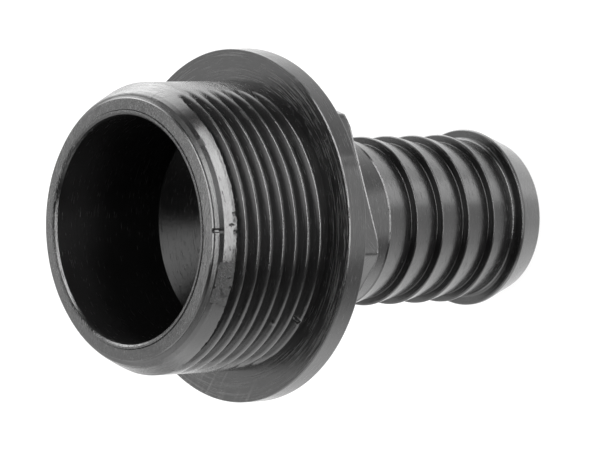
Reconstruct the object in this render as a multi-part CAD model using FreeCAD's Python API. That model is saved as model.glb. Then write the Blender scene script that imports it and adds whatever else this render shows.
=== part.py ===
# Hose end fitting: a male pipe thread on a flange, a hexagon and a barbed hose tail,
# moulded as one piece of black plastic, so it is one solid.
# The axis is Z. The thread end points up (+Z) and the hose tail points down.
# The origin is on the axis, in the plane of the flange's sealing face.
import FreeCAD
import Part
import math
import os

Vector = FreeCAD.Vector

# Thread: a 55 degree parallel pipe thread of nominal size 1 1/4, 11 turns to the inch
THREAD_DIAMETER = 41.91
THREAD_PITCH = 2.309
THREAD_DEPTH = 1.479
THREAD_HALF_ANGLE = 27.5
THREAD_LENGTH = 15.9        # at full diameter, from the flange
THREAD_PLAIN_LAND = 1.0     # between the flange and the lowest groove
GROOVE_OVERSHOOT = 0.2      # how far the cut for a groove reaches outside the crests

# Parting line of the thread's mould: the grooves stop short of it on both sides
PARTING_ANGLE = 102.8       # from the X axis, degrees
PARTING_REACH = 18.83       # from the axis to where the grooves stop

# Nose: a cone that leads the thread in, then a stepped face that rises to the mouth
LEAD_IN_LENGTH = 3.0
LEAD_IN_DIAMETER = 38.8
FACE_DIAMETER = 37.6
FACE_STEP = 0.65
FACE_RISE = 0.25
LIP_DIAMETER = 34.0
LIP_HEIGHT = 0.15

# Passage through the fitting
BORE_DIAMETER = 32.5
BORE_DEPTH = 19.55
MOUTH_BEVEL = 0.3           # how far the bevel from the lip to the bore goes down
CONE_LENGTH = 7.3
TAIL_BORE_DIAMETER = 18.0

# Flange and hexagon
FLANGE_DIAMETER = 51.2
FLANGE_THICKNESS = 3.3
FLANGE_FRONT_EDGE = 0.2
FLANGE_BACK_EDGE = 0.3
HEX_ACROSS_FLATS = 36.5
HEX_HEIGHT = 7.0
HEX_CORNER_HEIGHT = 0.6     # height of the bevel on the hexagon's back corners
HEX_CORNER_DEPTH = 1.0      # how far in from the corners that bevel reaches

# Hose tail
NECK_LENGTH = 9.3
NECK_GUSSET = 0.8
BARB_DIAMETER = 25.1
BARB_ROOT_DIAMETER = 22.7
BARB_PITCH = 5.1
BARB_COUNT = 4
END_BARB_DIAMETER = 26.3
END_BARB_LAND = 0.6
END_BARB_GUSSET = 0.9       # bevel that fills the root of the end barb's step
TIP_LENGTH = 4.9
TIP_DIAMETER = 22.6
TIP_EDGE = 0.6

# Sizes and heights that follow from the values above
groove_half_width = THREAD_DEPTH * math.tan(math.radians(THREAD_HALF_ANGLE))
flange_back = -FLANGE_THICKNESS
hex_back = flange_back - HEX_HEIGHT
neck_end = hex_back - NECK_LENGTH
end_barb_top = neck_end - (BARB_COUNT + 1) * BARB_PITCH
end_barb_low = end_barb_top - END_BARB_LAND
tail_end = end_barb_low - TIP_LENGTH
lead_in_top = THREAD_LENGTH + LEAD_IN_LENGTH
face_edge = lead_in_top + FACE_STEP
face_top = face_edge + FACE_RISE
lip_top = face_top + LIP_HEIGHT
bore_end = lip_top - BORE_DEPTH
cone_end = bore_end - CONE_LENGTH


def bevelled_outline(corners):
    """A closed wire in the XZ plane through (radius from axis, height, length of bevel)."""
    points = []
    for index, (x, z, bevel) in enumerate(corners):
        here = Vector(x, 0, z)
        if bevel == 0:
            points.append(here)
            continue
        before = corners[index - 1]
        after = corners[(index + 1) % len(corners)]
        back = (Vector(before[0], 0, before[1]) - here).normalize()
        ahead = (Vector(after[0], 0, after[1]) - here).normalize()
        points.append(here + back * bevel)
        points.append(here + ahead * bevel)
    return Part.makePolygon(points + points[:1])


def revolved(corners):
    """The solid that an outline sweeps in a full turn about the axis."""
    face = Part.Face(bevelled_outline(corners))
    return face.revolve(Vector(0, 0, 0), Vector(0, 0, 1), 360)


def tail_outline():
    """The hose tail from its mouth up to the neck: tip, end barb and sawtooth barbs.

    Each barb has a square step towards the flange, which holds the hose,
    and a long ramp towards the mouth, over which the hose is pushed on.
    """
    bore = TAIL_BORE_DIAMETER / 2
    root = BARB_ROOT_DIAMETER / 2
    crest = BARB_DIAMETER / 2
    corners = [
        (bore, tail_end, 0),
        (TIP_DIAMETER / 2, tail_end, TIP_EDGE),
        (END_BARB_DIAMETER / 2, end_barb_low, 0),
        (END_BARB_DIAMETER / 2, end_barb_top, 0),
        (root, end_barb_top, END_BARB_GUSSET),
    ]
    for barb in range(BARB_COUNT, 0, -1):
        step = neck_end - barb * BARB_PITCH
        corners.append((crest, step, 0))
        corners.append((root, step, 0))
    corners.append((crest, neck_end, 0))
    return corners


def head_outline():
    """The neck's top, the core of the hexagon, the flange, the thread's blank and the nose."""
    core = HEX_ACROSS_FLATS / 2 - HEX_CORNER_DEPTH
    thread = THREAD_DIAMETER / 2
    return [
        (BARB_DIAMETER / 2, hex_back, NECK_GUSSET),
        (core, hex_back, 0),
        (core, flange_back, 0),
        (FLANGE_DIAMETER / 2, flange_back, FLANGE_BACK_EDGE),
        (FLANGE_DIAMETER / 2, 0, FLANGE_FRONT_EDGE),
        (thread, 0, 0),
        (thread, THREAD_LENGTH, 0),
        (LEAD_IN_DIAMETER / 2, lead_in_top, 0),
        (FACE_DIAMETER / 2, lead_in_top, 0),
        (FACE_DIAMETER / 2, face_edge, 0),
        (LIP_DIAMETER / 2, face_top, 0),
        (LIP_DIAMETER / 2, lip_top, 0),
    ]


def passage_outline():
    """The passage from the thread end down: bevelled mouth, wide bore and cone."""
    bore = BORE_DIAMETER / 2
    return [
        (bore, lip_top - MOUTH_BEVEL, 0),
        (bore, bore_end, 0),
        (TAIL_BORE_DIAMETER / 2, cone_end, 0),
    ]


def turned_body():
    """Everything round, in one outline."""
    return revolved(tail_outline() + head_outline() + passage_outline())


def hexagon():
    """The spanner hexagon behind the flange, with its back corners bevelled."""
    corner = HEX_ACROSS_FLATS / 2 / math.cos(math.radians(30))
    points = []
    for index in range(7):
        angle = math.radians(60 * index)
        points.append(Vector(corner * math.cos(angle), corner * math.sin(angle), hex_back))
    prism = Part.Face(Part.makePolygon(points)).extrude(Vector(0, 0, HEX_HEIGHT))
    core = HEX_ACROSS_FLATS / 2 - HEX_CORNER_DEPTH
    bevel = revolved([
        (core - HEX_CORNER_DEPTH, hex_back, 0),
        (corner - HEX_CORNER_DEPTH, hex_back, 0),
        (corner, hex_back + HEX_CORNER_HEIGHT, 0),
        (corner + HEX_CORNER_DEPTH, hex_back + HEX_CORNER_HEIGHT, 0),
        (corner + HEX_CORNER_DEPTH, flange_back, 0),
        (core - HEX_CORNER_DEPTH, flange_back, 0),
    ])
    return prism.common(bevel)


def half_turn_groove():
    """Half a turn of the right-hand groove, cut square where it nears the parting line.

    It starts on the X axis and ends on the other side, half a pitch higher.
    """
    major = THREAD_DIAMETER / 2
    minor = major - THREAD_DEPTH
    clear = major + GROOVE_OVERSHOOT
    slope = math.tan(math.radians(THREAD_HALF_ANGLE))
    half_outside = groove_half_width + GROOVE_OVERSHOOT * slope
    path = Part.makeHelix(THREAD_PITCH, THREAD_PITCH / 2, minor)
    profile = Part.makePolygon([
        Vector(minor, 0, 0),
        Vector(clear, 0, -half_outside),
        Vector(clear, 0, half_outside),
        Vector(minor, 0, 0),
    ])
    groove = Part.Wire(path.Edges).makePipeShell([profile], True, True)
    slab = Part.makeBox(
        2 * PARTING_REACH, 2 * clear, 3 * THREAD_PITCH,
        Vector(-PARTING_REACH, -clear, -THREAD_PITCH))
    return groove.common(slab)


def thread_grooves():
    """The half turns, stacked from the flange up until one crosses the foot of the lead-in."""
    lowest = THREAD_PLAIN_LAND + groove_half_width
    half_turns = math.ceil((THREAD_LENGTH - lowest) / (THREAD_PITCH / 2))
    one = half_turn_groove()
    grooves = []
    for step in range(half_turns):
        groove = one.copy()
        turn = PARTING_ANGLE - 180 * (half_turns - step)
        groove.rotate(Vector(0, 0, 0), Vector(0, 0, 1), turn)
        groove.translate(Vector(0, 0, lowest + step * THREAD_PITCH / 2))
        grooves.append(groove)
    return grooves


def hose_tail_fitting():
    """The whole moulding."""
    blank = turned_body().fuse(hexagon()).removeSplitter()
    return blank.cut(thread_grooves())


def write(shape, node):
    """One STEP file for one solid, which has to be valid."""
    solid = shape.Solids[0]
    if len(shape.Solids) != 1 or not solid.isValid():
        raise ValueError(node + " isn't one valid solid")
    os.makedirs("parts", exist_ok=True)
    solid.exportStep("parts/" + node + ".step")


write(hose_tail_fitting(), "hose_tail_fitting")
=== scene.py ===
import math

import bpy
import bmesh
import numpy as np
from mathutils import Matrix, Vector


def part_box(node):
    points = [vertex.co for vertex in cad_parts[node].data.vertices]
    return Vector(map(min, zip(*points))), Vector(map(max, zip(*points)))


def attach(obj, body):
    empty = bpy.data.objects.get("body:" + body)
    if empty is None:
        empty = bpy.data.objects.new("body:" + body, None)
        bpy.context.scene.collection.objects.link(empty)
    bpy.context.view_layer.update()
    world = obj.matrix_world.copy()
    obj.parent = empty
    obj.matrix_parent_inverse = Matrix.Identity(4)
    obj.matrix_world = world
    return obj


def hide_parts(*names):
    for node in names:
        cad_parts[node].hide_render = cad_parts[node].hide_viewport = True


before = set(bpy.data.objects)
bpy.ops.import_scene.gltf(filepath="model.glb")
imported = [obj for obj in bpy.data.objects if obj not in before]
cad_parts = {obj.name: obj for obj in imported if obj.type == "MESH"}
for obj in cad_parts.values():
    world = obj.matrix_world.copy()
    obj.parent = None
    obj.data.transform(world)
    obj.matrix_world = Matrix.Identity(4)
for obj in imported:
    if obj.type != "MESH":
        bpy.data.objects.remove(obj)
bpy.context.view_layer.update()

# The fitting stands on its hose tail. Its axis is Z, with the thread end up.
# Sizes are in millimetres until a mesh is made, and angles in degrees.
NODE = "hose_tail_fitting"
BODY = "root"
SLOT = "black_plastic"
MM = 0.001

low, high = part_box(NODE)
TAIL_END = low.z / MM
NOSE_TOP = high.z / MM
FLANGE_RADIUS = high.x / MM

# Thread: a right-hand groove in half turns, which run out before the mould's parting line.
# A run-out starts and ends so many degrees from that line.
THREAD_RADIUS = 20.955
THREAD_PITCH = 2.309
THREAD_DEPTH = 1.479
THREAD_HALF_ANGLE = 27.5
THREAD_LENGTH = 15.9
THREAD_PLAIN_LAND = 1.0
THREAD_HALF_TURNS = 13
GROOVE_SLOPE = 1 / math.tan(math.radians(THREAD_HALF_ANGLE))
GROOVE_HALF_WIDTH = THREAD_DEPTH / GROOVE_SLOPE
ROOT_ROUNDING = 0.2
CREST_ROUNDING = 0.37
PARTING_ANGLE = 102.8
TOP_RUN_OUT = (36.0, 21.0)
LOW_RUN_OUT = (31.0, 8.0)

# Nose, from the thread to the mouth. The lead-in is steeper past its shoulder, and a narrow
# sloping ledge joins it to the stepped face. A fine groove runs round the foot of the lip.
SHOULDER_TOP = 18.25
SHOULDER_RADIUS = 19.82
LEAD_IN_SLOPE = (THREAD_RADIUS - SHOULDER_RADIUS) / (SHOULDER_TOP - THREAD_LENGTH)
LEAD_IN_TOP = 18.8
LEAD_IN_RADIUS = 19.44
LEDGE_TOP = 19.1
FACE_RADIUS = 18.8
FACE_EDGE = 19.55
FACE_TOP = 19.8
LIP_RADIUS = 17.0
LIP_GROOVE_DEPTH = 0.08
LIP_GROOVE_WIDTH = 0.14
LIP_GROOVE_FOOT = 0.02
SHOULDER_ROUNDING = 0.8
LEAD_IN_TOP_ROUNDING = 0.1
LEDGE_ROUNDING = 0.05
FACE_ROUNDING = 0.06

# Passage. The mouth has a flat bevel and then a steep one.
BORE_RADIUS = 16.25
MOUTH_RADIUS = 16.7
FLAT_BEVEL_RADIUS = 16.42
FLAT_BEVEL_END = NOSE_TOP - 0.2
STEEP_BEVEL_END = NOSE_TOP - 0.6
BORE_EDGE_ROUNDING = 0.12
BORE_END = 0.4
BORE_END_ROUNDING = 0.2
TAIL_BORE_RADIUS = 9.0
CONE_END = -6.9

# Roundings that edges of the whole fitting share
FINE_ROUNDING = 0.04
FINEST_ROUNDING = 0.03

# Steep bevel on the front edges of the flange and the face
EDGE_LENGTH = 0.2
EDGE_DEPTH = 0.1

# Flange and hexagon, with a burr round the hexagon's back edge
FLANGE_BACK = -3.3
FLANGE_BACK_ROUNDING = 0.3
FLANGE_FILLET = 0.25
HEX_BACK = -10.3
HEX_FLAT = 18.25
HEX_CORNER = HEX_FLAT / math.cos(math.radians(30))
HEX_CORNER_CUT = 1.0
HEX_CORNER_HEIGHT = 0.6
HEX_EDGE_BREAK = 0.1
HEX_EDGE_ROUNDING = 0.06
HEX_BURR = 0.1

# Hose tail. The neck is a little thinner than the barbs, and a steep edge joins them.
NECK_RADIUS = 12.43
NECK_FILLET = 0.5
NECK_END = -19.6
NECK_EDGE_LENGTH = 0.26
NECK_TOP = NECK_END + NECK_EDGE_LENGTH
BARB_RADIUS = 12.55
BARB_ROOT = 11.35
BARB_PITCH = 5.1
BARB_COUNT = 4
BARB_CREST_ROUNDING = 0.26
BARB_ROOT_ROUNDING = 0.1
END_BARB_RADIUS = 13.15
END_BARB_LAND = 0.6
END_BARB_TOP = NECK_END - (BARB_COUNT + 1) * BARB_PITCH
END_BARB_LOW = END_BARB_TOP - END_BARB_LAND
END_BARB_ROOT_ROUNDING = 0.6
END_BARB_LOW_ROUNDING = 0.5
TIP_RADIUS = 11.3
TIP_ROUNDING = 0.6
TIP_BORE_ROUNDING = 0.4

# A ring of vertices this close to an edge keeps the face beside it evenly shaded
HOLD = 0.01
CONE_HOLD = 0.2

# Burr over the uppermost groove, and the angles between which it is chipped
BURR_LENGTH = 0.14
BURR_UNEVENNESS = 0.5
BURR_LIMITS = (-0.1, 0.5)
BURR_RISE = 0.3
BURR_SEED = 3
CHIP_LENGTH = 0.1
CHIP_CLOSENESS = 2.3
CHIP_SEED = 8
CHIPPED_START = 4.0
CHIPPED_END = 22.0
RAGGED_WAVES = (7, 13, 29, 53, 97, 181)

# Knocks: angle, height, reach in degrees and along the axis, depth, and the radius that bounds it
KNOCKS = (
    (-29.0, 1.7, 1.1, 0.7, 0.55, 20.0),
    (-30.6, 1.5, 0.9, 0.6, -0.12, 20.6),
    (-29.8, 6.2, 1.4, 0.5, -0.16, 20.5),
    (11.0, 19.1, 1.2, 0.7, 0.3, 18.3),
    (13.2, 17.2, 0.8, 0.25, 0.2, 19.5),
    (10.4, 16.5, 0.7, 0.4, 0.35, 19.9),
    (17.5, 16.6, 0.6, 0.3, 0.25, 19.9),
    (32.6, -2.9, 0.5, 0.4, 0.2, 25.0),
    (106.3, 19.9, 1.0, 0.3, 0.15, 16.6),
)

# Mesh: columns round the axis, and the angles between which they are closer together
COLUMN_STEP = 1.2
FINE_PARTS = 4
FINE_ZONES = ((-34.0, -27.0), (3.0, 23.0))
SEAM_ANGLE = -78.0
TOLERANCE = 1e-6
MERGE_DISTANCE = 0.002
SHARP_ANGLE = 50

# Surface marks. Each has a noise, with its scales along three axes, detail, roughness and
# distortion. Some fade in between two values of it. Rings, scratches and arcs run round the axis.
NOISES = {
    "rings": ((2.2, 2.2, 2.6), 4.0, 0.62, 0.25),
    "scratches": ((7.0, 7.0, 7.0), 3.0, 0.6, 0.1),
    "arcs": ((3.0, 3.0, 4.5), 3.0, 0.6, 0.2),
    "grain": ((5.0, 5.0, 5.0), 4.0, 0.65, 0.0),
    "patches": ((0.22, 0.22, 0.22), 3.0, 0.55, 0.4),
    "blotches": ((0.9, 0.9, 0.9), 3.0, 0.6, 0.6),
    "dust": ((2.4, 2.4, 2.4), 2.0, 0.5, 0.0),
    "streaks": ((0.10, 1.1, 0.1), 2.0, 0.5, 0.15),
    "rough_patch": ((1.3, 1.3, 1.3), 2.0, 0.5, 0.0),
    "pits": ((3.0, 3.0, 3.0), 2.0, 0.6, 0.0),
    "scuffs": ((3.4, 0.5, 1.0), 3.0, 0.7, 1.2),
    "flow": ((0.45, 0.45, 1.7), 4.0, 0.6, 1.6),
}
FADES_IN = {
    "scratches": (0.58, 0.74),
    "arcs": (0.50, 0.68),
    "dust": (0.72, 0.8),
    "streaks": (0.52, 0.66),
    "rough_patch": (0.3, 0.5),
    "pits": (0.45, 0.6),
    "scuffs": (0.50, 0.58),
}
RINGS_SHIFT = 1.4
STREAKS_RUN = 117.6
SCUFFS_ELSEWHERE = 0.3

# Where marks lie round the axis or along it: the middle, the reach to each side, and the fade
FLANGE_FACE = (0.0, 0.08, 0.1)
STREAKED = (-88.0, 16.0, 10.0)
ROUGH_PATCH = (-11.0, 7.0, 3.0)
ROUGH_PATCH_HEIGHT = (17.3, 1.2, 0.3)
SCUFFED = (160.0, 16.0, 10.0)
FLOW_HEIGHT = (10.0, 8.9, 0.2)

# From which radius or height on marks lie. Flow marks go by the sine from the parting line too.
FLANGE_FACE_FROM = (21.1, 21.5)
ROUGH_PATCH_FROM = (19.4, 19.6)
NOSE_FACE_FROM = (16.4, 16.6)
NOSE_FACE_ABOVE = (19.5, 19.6)
FLOW_FROM = (19.0, 19.3)
FLOW_BESIDE_PARTING = (0.5, 0.25)

# What the marks do to the plastic. Relief is in millimetres.
BLACK = (0.0030, 0.0029, 0.0030, 1)
PALER_BLACK = (0.012, 0.0118, 0.0118, 1)
PALEST = 5.0
SMOOTHEST = 0.14
DULLEST = 0.20
DULLING_PATCHES = (0.3, 0.7)
PALER = {
    "patches": 0.4, "rings": 0.3, "scratches": 0.35, "dust": 0.5,
    "arcs": 2.0, "streaks": 3.5, "scuffs": 3.5,
}
ROUGHER = {
    "rings": 0.06, "scratches": 0.10, "grain": 0.04,
    "arcs": 0.12, "rough_patch": 0.25, "scuffs": 0.2,
}
RELIEF = {
    "rings": 0.014, "grain": 0.005, "blotches": 0.018, "scratches": -0.010,
    "arcs": -0.012, "streaks": -0.02, "pits": -0.06, "scuffs": 0.06, "flow": 0.09,
}
PLASTIC_IOR = 1.6

# Camera: where the flange's centre and the fitting's axis lie as the photograph sees them,
# with x to the right, y down and z away from the camera
LENS = 334.62
SENSOR = 36.0
FLANGE_CENTRE_SEEN = Vector((-9.78, 0.17, 806.22))
AXIS_SEEN = Vector((0.755, -0.028, 0.655)).normalized()
HEX_CORNER_BELOW_LEVEL = 9.7

# Floor, in metres. To the camera it is white, and a small part of that white takes the shadow.
FLOOR_SIZE = 6
FLOOR_GREY = (0.8, 0.8, 0.8, 1)
SHADOWED_PART = (0.15, 0.15, 0.15, 1)
FLOOR_WHITE = 0.92

# The studio round the fitting. Directions are degrees to the right of the camera and above
# its level. A glow is round, with the angles where it ends and where it is full. A panel has
# half its width, half its height and how far it fades out. The last value is the radiance.
SURROUND = 0.03
GLOWS = {
    "back": (163, 0, 100, 0, 1.3),
    "left_core": (-64, 2, 34, 4, 1.6),
    "left": (-95, -5, 50, 15, 1.4),
    "back_high": (-145, 52, 38, 12, 4.5),
    "back_low": (135, -48, 40, 12, 0.5),
    "back_right": (150, 15, 40, 10, 0.2),
    "table": (90, -80, 45, 15, 2.2),
    "left_low": (-95, -50, 35, 12, 1.1),
    "front": (-8, 26, 36, 6, 2.0),
    "left_high": (-112, 34, 20, 6, 4.0),
}
PANELS = {
    "key": (28.5, 26, 2.5, 48, 5, 14.5),
    "left_lip": (-60, 3, 5, 12, 8, 12.0),
    "right_near": (66, 10, 9, 28, 6, 3.8),
    "right_mid": (85, 8, 10, 20, 5, 1.0),
    "right_patch": (113, 20.5, 17, 6.5, 1.5, 1.6),
    "right_high": (100, 44, 38, 14, 8, 0.4),
    "right_low": (108, -24, 26, 15, 6, 0.2),
}


def rounded(corners, steps=3):
    """Points along an outline of (radius, height, rounding) corners, each rounding an arc."""
    points = []
    for index, (radius, height, rounding) in enumerate(corners):
        here = Vector((radius, height))
        if rounding == 0:
            points.append((radius, height))
            continue
        back = (Vector(corners[index - 1][:2]) - here).normalized()
        ahead = (Vector(corners[index + 1][:2]) - here).normalized()
        half = back.angle(ahead) / 2
        centre = here + (back + ahead).normalized() * rounding / math.sin(half)
        arm = here + back * rounding / math.tan(half) - centre
        sweep = math.pi - 2 * half
        if back.cross(ahead) > 0:
            sweep = -sweep
        for step in range(steps + 1):
            angle = sweep * step / steps
            turned = Vector((
                arm.x * math.cos(angle) - arm.y * math.sin(angle),
                arm.x * math.sin(angle) + arm.y * math.cos(angle)))
            points.append(tuple(centre + turned))
    return points


def tail_corners():
    """The hose tail from its bore up to the neck, with a step and a ramp for each barb."""
    corners = [
        (TAIL_BORE_RADIUS, CONE_END, 0),
        (TAIL_BORE_RADIUS, TAIL_END, TIP_BORE_ROUNDING),
        (TIP_RADIUS, TAIL_END, TIP_ROUNDING),
        (END_BARB_RADIUS, END_BARB_LOW, END_BARB_LOW_ROUNDING),
        (END_BARB_RADIUS, END_BARB_TOP, BARB_CREST_ROUNDING),
        (BARB_ROOT, END_BARB_TOP, END_BARB_ROOT_ROUNDING),
    ]
    for barb in range(BARB_COUNT, 0, -1):
        step = NECK_END - barb * BARB_PITCH
        corners.append((BARB_RADIUS, step, BARB_CREST_ROUNDING))
        corners.append((BARB_ROOT, step, BARB_ROOT_ROUNDING))
    corners.append((BARB_RADIUS, NECK_END, FINE_ROUNDING))
    corners.append((NECK_RADIUS + HOLD, NECK_TOP - 2 * HOLD, 0))
    corners.append((NECK_RADIUS, NECK_TOP, 0))
    return corners


def head_corners(angle):
    """From the neck over the hexagon and the flange to the foot of the thread, at one angle."""
    off_flat = math.radians(angle % 60 - 30)
    side = min(HEX_FLAT / math.cos(off_flat), HEX_CORNER - HEX_EDGE_ROUNDING)
    bevel = min(HEX_CORNER - HEX_CORNER_CUT, side - HEX_EDGE_BREAK)
    edge = HEX_BACK + HEX_CORNER_HEIGHT * (side - bevel) / HEX_CORNER_CUT
    burr_foot = edge + 2 * HEX_BURR
    return [
        (NECK_RADIUS, NECK_TOP, 0),
        (NECK_RADIUS, HEX_BACK, NECK_FILLET),
        (bevel, HEX_BACK, FINE_ROUNDING),
        (side + HEX_BURR, edge, FINEST_ROUNDING),
        (side + HOLD, burr_foot - 2 * HOLD, 0),
        (side, burr_foot, 0),
        (side, FLANGE_BACK, FLANGE_FILLET),
        (FLANGE_RADIUS, FLANGE_BACK, FLANGE_BACK_ROUNDING),
        (FLANGE_RADIUS, -EDGE_LENGTH, FINEST_ROUNDING),
        (FLANGE_RADIUS - EDGE_DEPTH, 0, FINE_ROUNDING),
        (THREAD_RADIUS, 0, 0),
    ]


def nose_corners():
    """From the lead-in's shoulder over the nose and down the passage."""
    return [
        (THREAD_RADIUS, THREAD_LENGTH, 0),
        (SHOULDER_RADIUS, SHOULDER_TOP, SHOULDER_ROUNDING),
        (LEAD_IN_RADIUS, LEAD_IN_TOP, LEAD_IN_TOP_ROUNDING),
        (FACE_RADIUS, LEDGE_TOP, LEDGE_ROUNDING),
        (FACE_RADIUS, FACE_EDGE - EDGE_LENGTH, LEDGE_ROUNDING),
        (FACE_RADIUS - EDGE_DEPTH, FACE_EDGE, FACE_ROUNDING),
        (LIP_RADIUS + LIP_GROOVE_WIDTH, FACE_TOP, FINEST_ROUNDING),
        (LIP_RADIUS + LIP_GROOVE_FOOT, FACE_TOP - LIP_GROOVE_DEPTH, 0),
        (LIP_RADIUS, NOSE_TOP, FINE_ROUNDING),
        (MOUTH_RADIUS, NOSE_TOP, FINEST_ROUNDING),
        (FLAT_BEVEL_RADIUS, FLAT_BEVEL_END, FINEST_ROUNDING),
        (BORE_RADIUS, STEEP_BEVEL_END, BORE_EDGE_ROUNDING),
        (BORE_RADIUS, BORE_END, BORE_END_ROUNDING),
        (TAIL_BORE_RADIUS + CONE_HOLD, CONE_END + CONE_HOLD, 0),
        (TAIL_BORE_RADIUS, CONE_END, 0),
    ]


def groove_depth(offset):
    """Depth of the thread's groove at a distance along the axis from its centre."""
    away = abs(offset)
    if away < ROOT_ROUNDING:
        flattened = ROOT_ROUNDING / 2 + away ** 2 / (2 * ROOT_ROUNDING)
        return GROOVE_SLOPE * (GROOVE_HALF_WIDTH - flattened)
    if away < GROOVE_HALF_WIDTH - CREST_ROUNDING:
        return GROOVE_SLOPE * (GROOVE_HALF_WIDTH - away)
    if away < GROOVE_HALF_WIDTH + CREST_ROUNDING:
        inside = GROOVE_HALF_WIDTH + CREST_ROUNDING - away
        return GROOVE_SLOPE * inside ** 2 / (4 * CREST_ROUNDING)
    return 0.0


def groove_offsets():
    """Offsets along the axis, over one pitch, that catch a groove's root, flanks and crests."""
    side = [
        ROOT_ROUNDING / 2,
        ROOT_ROUNDING,
        GROOVE_HALF_WIDTH - CREST_ROUNDING,
        GROOVE_HALF_WIDTH - CREST_ROUNDING / 2,
        GROOVE_HALF_WIDTH,
        GROOVE_HALF_WIDTH + CREST_ROUNDING / 2,
        GROOVE_HALF_WIDTH + CREST_ROUNDING,
    ]
    return [-offset for offset in reversed(side)] + [0.0] + side + [THREAD_PITCH / 2]


def blank_radius(height):
    """Radius of the thread's crests, and of the lead-in above them, without any groove."""
    return THREAD_RADIUS - LEAD_IN_SLOPE * np.maximum(height - THREAD_LENGTH, 0)


def even_angles():
    """Angles round the axis from the seam, closer together in the fine zones."""
    angles = []
    for step in range(round(360 / COLUMN_STEP)):
        angle = SEAM_ANGLE + step * COLUMN_STEP
        fine = any(start <= angle < end for start, end in FINE_ZONES)
        parts = FINE_PARTS if fine else 1
        angles += [angle + COLUMN_STEP * part / parts for part in range(parts)]
    return angles


def groove_fade(angle):
    """How much of a groove's depth is left at an angle: the grooves run out near the parting."""
    from_top = abs((angle - PARTING_ANGLE + 180) % 360 - 180)
    start, end = TOP_RUN_OUT if from_top < 90 else LOW_RUN_OUT
    from_parting = min(from_top, 180 - from_top)
    part = min(max((from_parting - end) / (start - end), 0), 1)
    return part * part * (3 - 2 * part)


def plain_row(angles, radius, height):
    """A level ring of vertices as (radius, height, angle)."""
    return [(radius, height, angle) for angle in angles]


def thread_row(angles, turn, offset, top):
    """A ring of vertices that climbs with the thread, at an offset from the centre of a groove.

    Past the flange's face and the top of the thread it lies level.
    """
    first = THREAD_PLAIN_LAND + GROOVE_HALF_WIDTH
    depth = groove_depth(offset)
    row = []
    for angle in angles:
        climbed = (angle - PARTING_ANGLE + 180) / 360
        half_turn = 2 * turn + (0 if climbed % 1 < 0.5 else 1)
        height = first + THREAD_PITCH * (turn + climbed) + offset
        height = min(max(height, 0), top)
        radius = blank_radius(height)
        if 0 <= half_turn < THREAD_HALF_TURNS:
            radius = min(radius, THREAD_RADIUS - depth * groove_fade(angle))
        row.append((radius, height, angle))
    return row


def vertex_rows(angles):
    """Every ring of vertices, from the tail's bore round the outside and down the passage.

    Also gives the first and the last of the rings that climb with the thread.
    """
    rows = [plain_row(angles, *point) for point in rounded(tail_corners())]
    heads = [rounded(head_corners(angle)) for angle in angles]
    for index in range(1, len(heads[0])):
        rows.append([(*head[index], angle) for head, angle in zip(heads, angles)])
    nose = rounded(nose_corners())[1:-1]
    first = len(rows)
    for turn in range(-2, THREAD_HALF_TURNS // 2 + 2):
        for offset in groove_offsets():
            rows.append(thread_row(angles, turn, offset, nose[0][1]))
    last = len(rows) - 1
    rows += [plain_row(angles, *point) for point in nose[1:]]
    return rows, first, last


def mark_lead_in(grid):
    """Moves the nearest ring onto the foot of the lead-in wherever no groove crosses it."""
    for column in range(grid.shape[1]):
        index = np.argmin(np.abs(grid[:, column, 1] - THREAD_LENGTH))
        radius, height = grid[index, column, :2]
        if radius > blank_radius(height) - TOLERANCE:
            grid[index, column, :2] = THREAD_RADIUS, THREAD_LENGTH


def raggedness(angle, seed):
    """An uneven value round the axis, about -1 to 1, from waves of several lengths."""
    chance = np.random.default_rng(seed)
    total = np.zeros_like(angle)
    for waves in RAGGED_WAVES:
        total += np.cos(np.radians(angle) * waves + chance.uniform(0, 2 * math.pi))
    return total / (len(RAGGED_WAVES) / 2)


def top_edge(grid, angles):
    """The edge between the uppermost groove and the lead-in, with its burr and chips.

    The ring above the groove's flank moves onto the edge, then out over the groove by the burr.
    """
    burr = BURR_LENGTH * (1 + BURR_UNEVENNESS * raggedness(angles, BURR_SEED))
    chips = CHIP_LENGTH * raggedness(angles * CHIP_CLOSENESS, CHIP_SEED)
    chipped = (angles > CHIPPED_START) & (angles < CHIPPED_END)
    burr = np.clip(np.where(chipped, burr + chips, burr), *BURR_LIMITS)
    for column in range(grid.shape[1]):
        radius, height = grid[:, column, 0], grid[:, column, 1]
        cut = np.nonzero(radius < blank_radius(height) - TOLERANCE)[0]
        if len(cut) == 0 or height[cut[-1]] < THREAD_LENGTH - THREAD_PITCH / 2:
            continue
        last, edge = cut[-1], cut[-1] + 1
        drop = THREAD_RADIUS - radius[last]
        missing = drop - LEAD_IN_SLOPE * max(height[last] - THREAD_LENGTH, 0)
        rise = missing / (GROOVE_SLOPE * groove_fade(angles[column]) + LEAD_IN_SLOPE)
        if rise <= 0 or height[last] + rise < THREAD_LENGTH:
            continue
        z = height[last] + rise
        out = burr[column]
        grid[edge, column, 1] = z - out
        grid[edge, column, 0] = blank_radius(z) + out * BURR_RISE


def press(grid, angle, height, reach, tall, depth, inner):
    """Presses a dent into the surface round a place, or raises a lump where depth is negative."""
    along = (grid[:, :, 2] - angle) / reach
    up = (grid[:, :, 1] - height) / tall
    away = np.clip(along ** 2 + up ** 2, 0, 1)
    outside = grid[:, :, 0] > inner
    grid[:, :, 0] -= depth * (1 - away) ** 2 * outside


def mark_damage(grid):
    """Knocks that the edges of the thread, the nose and the flange have taken."""
    for knock in KNOCKS:
        press(grid, *knock)


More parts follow.
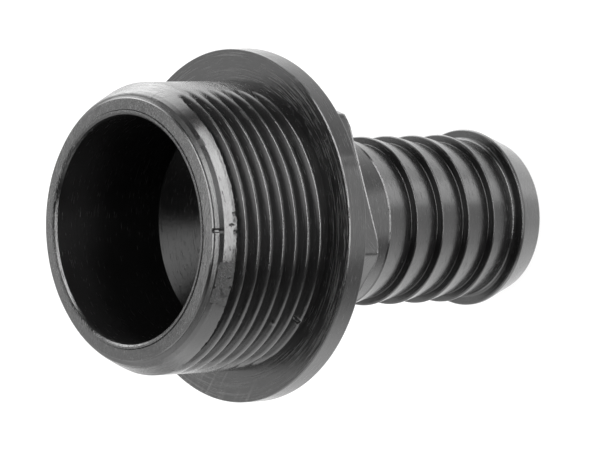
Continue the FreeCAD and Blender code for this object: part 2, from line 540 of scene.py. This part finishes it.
def ring_faces(rows, columns, first, last):
    """The faces between neighbouring rings, which close into a tube.

    The rings from first to last climb with the thread, so past the seam each goes on as the
    ring one pitch further.
    """
    pitch = len(groove_offsets())
    faces = []
    for row in range(rows):
        above = (row + 1) % rows
        for column in range(columns - 1):
            faces.append((
                row * columns + column, row * columns + column + 1,
                above * columns + column + 1, above * columns + column))
        climbs = first <= row < last
        if climbs and row + pitch >= last:
            continue
        step = pitch if climbs else 0
        faces.append((
            row * columns + columns - 1, (row + step) * columns,
            (above + step) * columns, above * columns + columns - 1))
    return faces


def clean(mesh):
    """Merges vertices that meet and turns every face outwards."""
    work = bmesh.new()
    work.from_mesh(mesh)
    bmesh.ops.remove_doubles(work, verts=work.verts, dist=MERGE_DISTANCE)
    bmesh.ops.dissolve_degenerate(work, edges=work.edges, dist=MERGE_DISTANCE)
    bmesh.ops.recalc_face_normals(work, faces=work.faces)
    work.to_mesh(mesh)
    work.free()


def in_metres(mesh):
    """The mesh in metres, shaded so that large faces stay even and small roundings blend.

    The shading is worked out in millimetres, because it compares the areas of faces.
    """
    draft = bpy.data.objects.new("draft", mesh)
    bpy.context.scene.collection.objects.link(draft)
    draft.modifiers.new("even shading", "WEIGHTED_NORMAL").keep_sharp = True
    shaded = draft.evaluated_get(bpy.context.evaluated_depsgraph_get())
    final = bpy.data.meshes.new_from_object(shaded)
    bpy.data.objects.remove(draft)
    bpy.data.meshes.remove(mesh)
    final.transform(Matrix.Scale(MM, 4))
    final.name = "moulding"
    return final


def fitting_mesh():
    """The whole moulding as one closed mesh."""
    angles = even_angles()
    rows, first, last = vertex_rows(angles)
    grid = np.array(rows)
    mark_lead_in(grid[first:last])
    top_edge(grid[first:last], np.array(angles))
    mark_damage(grid)
    radius, height = grid[:, :, 0], grid[:, :, 1]
    turn = np.radians(grid[:, :, 2])
    points = np.stack([radius * np.cos(turn), radius * np.sin(turn), height], axis=2)
    mesh = bpy.data.meshes.new("moulding")
    faces = ring_faces(len(rows), len(angles), first, last)
    mesh.from_pydata(points.reshape(-1, 3).tolist(), [], faces)
    clean(mesh)
    mesh.shade_smooth()
    mesh.set_sharp_from_angle(angle=math.radians(SHARP_ANGLE))
    return in_metres(mesh)


def add_node(tree, kind, inputs, **settings):
    """A node with its settings, and its inputs filled with values or other nodes' outputs."""
    node = tree.nodes.new(kind)
    for name, value in settings.items():
        setattr(node, name, value)
    for socket, value in inputs.items():
        if isinstance(value, bpy.types.NodeSocket):
            tree.links.new(value, node.inputs[socket])
        else:
            node.inputs[socket].default_value = value
    return node


def maths(tree, operation, first, second=0.0):
    """The result of one sum."""
    return add_node(tree, "ShaderNodeMath", {0: first, 1: second}, operation=operation).outputs[0]


def times(tree, *values):
    """The product of several values."""
    product = values[0]
    for value in values[1:]:
        product = maths(tree, "MULTIPLY", product, value)
    return product


def ramp(tree, value, start, end, low_value=0.0, high_value=1.0):
    """A value that goes smoothly from one level to another between a start and an end."""
    node = add_node(tree, "ShaderNodeMapRange", {
        "Value": value, "From Min": start, "From Max": end,
        "To Min": low_value, "To Max": high_value}, interpolation_type="SMOOTHSTEP")
    return node.outputs["Result"]


def near(tree, value, centre, reach, fade):
    """One where a value lies within reach of a centre, and nothing past the fade."""
    away = maths(tree, "ABSOLUTE", maths(tree, "SUBTRACT", value, centre))
    return ramp(tree, away, reach, reach + fade, 1.0, 0.0)


def pattern(tree, mark, at):
    """The noise of one mark, which fades in where the mark has values for it."""
    scales, detail, roughness, distortion = NOISES[mark]
    drawn = add_node(tree, "ShaderNodeVectorMath", {0: at, 1: scales}, operation="MULTIPLY")
    noise = add_node(tree, "ShaderNodeTexNoise", {
        "Vector": drawn.outputs[0], "Scale": 1.0, "Detail": detail,
        "Roughness": roughness, "Distortion": distortion}).outputs["Fac"]
    return ramp(tree, noise, *FADES_IN[mark]) if mark in FADES_IN else noise


def round_axis(tree, turn, along):
    """Coordinates for a noise that is drawn out round the axis."""
    return add_node(tree, "ShaderNodeCombineXYZ", {
        0: maths(tree, "COSINE", turn), 1: maths(tree, "SINE", turn), 2: along}).outputs[0]


def round_places(tree):
    """Where a point lies: place, radius and height in millimetres, and turn in radians."""
    place = add_node(tree, "ShaderNodeTexCoord", {}).outputs["Object"]
    place = add_node(tree, "ShaderNodeVectorMath", {
        0: place, 1: (1 / MM, 1 / MM, 1 / MM)}, operation="MULTIPLY").outputs[0]
    x, y, z = add_node(tree, "ShaderNodeSeparateXYZ", {0: place}).outputs
    square = maths(tree, "ADD", times(tree, x, x), times(tree, y, y))
    return place, maths(tree, "SQRT", square), z, maths(tree, "ARCTAN2", y, x)


def general_marks(tree, place, radius, z, turn):
    """Rings and scratches round the axis, grain, uneven patches and dust, all over."""
    along = maths(tree, "ADD", z, times(tree, radius, RINGS_SHIFT))
    ring = round_axis(tree, turn, along)
    marks = {mark: pattern(tree, mark, ring) for mark in ("rings", "scratches")}
    for mark in ("grain", "patches", "blotches", "dust"):
        marks[mark] = pattern(tree, mark, place)
    return marks


def flange_marks(tree, place, radius, z, turn):
    """Turning arcs on the flange's face, and straight streaks on a part of it."""
    face = times(tree, near(tree, z, *FLANGE_FACE), ramp(tree, radius, *FLANGE_FACE_FROM))
    arcs = pattern(tree, "arcs", round_axis(tree, turn, radius))
    run = add_node(tree, "ShaderNodeVectorRotate", {
        "Vector": place, "Angle": math.radians(STREAKS_RUN)}, rotation_type="Z_AXIS").outputs[0]
    streaks = pattern(tree, "streaks", run)
    streaked = near(tree, maths(tree, "DEGREES", turn), *STREAKED)
    return {"arcs": times(tree, arcs, face), "streaks": times(tree, streaks, streaked, face)}


def nose_marks(tree, place, radius, z, turn):
    """A rough, pitted patch on the lead-in, and scuffs on the face, most of them on one side."""
    angle = maths(tree, "DEGREES", turn)
    rough_patch = times(
        tree,
        near(tree, angle, *ROUGH_PATCH),
        near(tree, z, *ROUGH_PATCH_HEIGHT),
        ramp(tree, radius, *ROUGH_PATCH_FROM),
        pattern(tree, "rough_patch", place))
    face = times(tree, ramp(tree, z, *NOSE_FACE_ABOVE), ramp(tree, radius, *NOSE_FACE_FROM))
    scuffed = maths(tree, "ADD", near(tree, angle, *SCUFFED), SCUFFS_ELSEWHERE)
    return {
        "rough_patch": rough_patch,
        "pits": times(tree, pattern(tree, "pits", place), rough_patch),
        "scuffs": times(tree, pattern(tree, "scuffs", place), scuffed, face),
    }


def flow_marks(tree, place, radius, z, turn):
    """Flow marks of the moulding on the plain strips beside the parting line."""
    from_parting = maths(tree, "SUBTRACT", turn, math.radians(PARTING_ANGLE))
    beside = maths(tree, "ABSOLUTE", maths(tree, "SINE", from_parting))
    strips = times(
        tree,
        ramp(tree, beside, *FLOW_BESIDE_PARTING),
        near(tree, z, *FLOW_HEIGHT),
        ramp(tree, radius, *FLOW_FROM))
    return {"flow": times(tree, pattern(tree, "flow", place), strips)}


def add_marks(tree, base, weights, marks):
    """A base value plus each mark times its weight."""
    for name, weight in weights.items():
        base = maths(tree, "ADD", base, times(tree, marks[name], weight))
    return base


def black_plastic():
    """Satin black moulding compound, with turning marks, handling scuffs and a little dust."""
    material = bpy.data.materials.new(SLOT)
    material.use_nodes = True
    tree = material.node_tree
    shader = tree.nodes["Principled BSDF"]
    places = round_places(tree)
    marks = {}
    for kind in (general_marks, flange_marks, nose_marks, flow_marks):
        marks.update(kind(tree, *places))

    pale = add_node(tree, "ShaderNodeClamp", {
        "Value": add_marks(tree, 0.0, PALER, marks), "Max": PALEST}).outputs[0]
    colour = add_node(tree, "ShaderNodeMix", {
        "Factor": pale, 6: BLACK, 7: PALER_BLACK}, data_type="RGBA", clamp_factor=False)
    tree.links.new(colour.outputs[2], shader.inputs["Base Color"])

    gloss = ramp(tree, marks["patches"], *DULLING_PATCHES, SMOOTHEST, DULLEST)
    tree.links.new(add_marks(tree, gloss, ROUGHER, marks), shader.inputs["Roughness"])
    shader.inputs["IOR"].default_value = PLASTIC_IOR

    relief = add_marks(tree, 0.0, RELIEF, marks)
    bump = add_node(tree, "ShaderNodeBump", {"Strength": 1.0, "Distance": MM, "Height": relief})
    tree.links.new(bump.outputs["Normal"], shader.inputs["Normal"])
    return material


def place_fitting():
    """The visible moulding, in place of the construction solid."""
    piece = bpy.data.objects.new("fitting", fitting_mesh())
    bpy.context.scene.collection.objects.link(piece)
    piece.data.materials.append(black_plastic())
    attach(piece, BODY)
    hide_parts(NODE)


def seen_axes():
    """The fitting's X, Y and Z directions as the camera sees them."""
    level = Vector((1, 0, 0))
    level = (level - AXIS_SEEN * level.dot(AXIS_SEEN)).normalized()
    down = AXIS_SEEN.cross(level)
    roll = math.radians(HEX_CORNER_BELOW_LEVEL)
    x = level * math.cos(roll) + down * math.sin(roll)
    y = level * math.sin(roll) - down * math.cos(roll)
    return Matrix((x, y, -AXIS_SEEN))


def place_camera():
    """The camera at the photograph's viewing angle. Gives the turn from its view to the scene."""
    seen = seen_axes()
    flip = Matrix(((1, 0, 0), (0, -1, 0), (0, 0, -1)))
    turn = seen @ flip
    data = bpy.data.cameras.new("camera")
    data.lens = LENS
    data.sensor_width = SENSOR
    camera = bpy.data.objects.new("camera", data)
    camera.matrix_world = Matrix.Translation(-(seen @ FLANGE_CENTRE_SEEN) * MM) @ turn.to_4x4()
    bpy.context.scene.collection.objects.link(camera)
    bpy.context.scene.camera = camera
    return turn


def floor_material():
    """A floor that the camera sees as white, with a faint shadow of the fitting."""
    material = bpy.data.materials.new("floor")
    material.use_nodes = True
    tree = material.node_tree
    tree.nodes.clear()
    plain = add_node(tree, "ShaderNodeBsdfDiffuse", {"Color": FLOOR_GREY})
    lit = add_node(tree, "ShaderNodeBsdfDiffuse", {"Color": SHADOWED_PART})
    white = add_node(tree, "ShaderNodeEmission", {"Strength": FLOOR_WHITE})
    seen = add_node(tree, "ShaderNodeAddShader", {0: lit.outputs[0], 1: white.outputs[0]})
    camera = add_node(tree, "ShaderNodeLightPath", {}).outputs["Is Camera Ray"]
    mix = add_node(tree, "ShaderNodeMixShader", {
        0: camera, 1: plain.outputs[0], 2: seen.outputs[0]})
    add_node(tree, "ShaderNodeOutputMaterial", {"Surface": mix.outputs[0]})
    return material


def place_floor():
    """A plain pale floor under the hose tail."""
    bpy.ops.mesh.primitive_plane_add(size=FLOOR_SIZE, location=(0, 0, low.z))
    floor = bpy.context.object
    floor.name = "floor"
    floor.data.materials.append(floor_material())
    floor.visible_glossy = False
    floor.visible_shadow = False


def aim(across, up):
    """A direction in the camera's view, in degrees to the right of the camera and above it."""
    across, up = math.radians(across), math.radians(up)
    return Vector((
        math.sin(across) * math.cos(up), math.sin(up), math.cos(across) * math.cos(up)))


def facing(tree, sight, axis):
    """How far a line of sight goes along an axis."""
    node = add_node(tree, "ShaderNodeVectorMath", {0: sight, 1: axis}, operation="DOT_PRODUCT")
    return node.outputs["Value"]


def glow(tree, sight, away, end, full):
    """A round light in the surround."""
    end, full = math.cos(math.radians(end)), math.cos(math.radians(full))
    return ramp(tree, facing(tree, sight, away), end, full)


def panel(tree, sight, away, side, reach, fade):
    """A rectangular light in the surround, reaching so many degrees across and up."""
    ahead = facing(tree, sight, away)
    result = 1.0
    for axis, size in zip((side, away.cross(side)), reach):
        angle = maths(tree, "ARCTAN2", facing(tree, sight, axis), ahead)
        inside = near(tree, maths(tree, "DEGREES", angle), 0.0, size, fade)
        result = times(tree, inside, result)
    return result


def light_scene(turn):
    """A studio of soft lights in the surround. The camera sees the surround as plain white."""
    world = bpy.data.worlds.new("surround")
    bpy.context.scene.world = world
    world.use_nodes = True
    tree = world.node_tree
    sight = add_node(tree, "ShaderNodeTexCoord", {}).outputs["Generated"]
    upright = turn @ Vector((0, 1, 0))
    level = SURROUND
    for across, up, end, full, radiance in GLOWS.values():
        light = glow(tree, sight, turn @ aim(across, up), end, full)
        level = maths(tree, "ADD", times(tree, light, radiance), level)
    for across, up, wide, tall, fade, radiance in PANELS.values():
        away = turn @ aim(across, up)
        side = upright.cross(away).normalized()
        light = panel(tree, sight, away, side, (wide, tall), fade)
        level = maths(tree, "ADD", times(tree, light, radiance), level)
    seen = add_node(tree, "ShaderNodeLightPath", {}).outputs["Is Camera Ray"]
    strength = add_node(tree, "ShaderNodeMix", {0: seen, 2: level, 3: 1.0})
    background = tree.nodes["Background"]
    tree.links.new(strength.outputs[0], background.inputs["Strength"])
    background.inputs["Color"].default_value = (1, 1, 1, 1)


place_fitting()
place_floor()
light_scene(place_camera())
bpy.context.scene.view_settings.view_transform = "Standard"
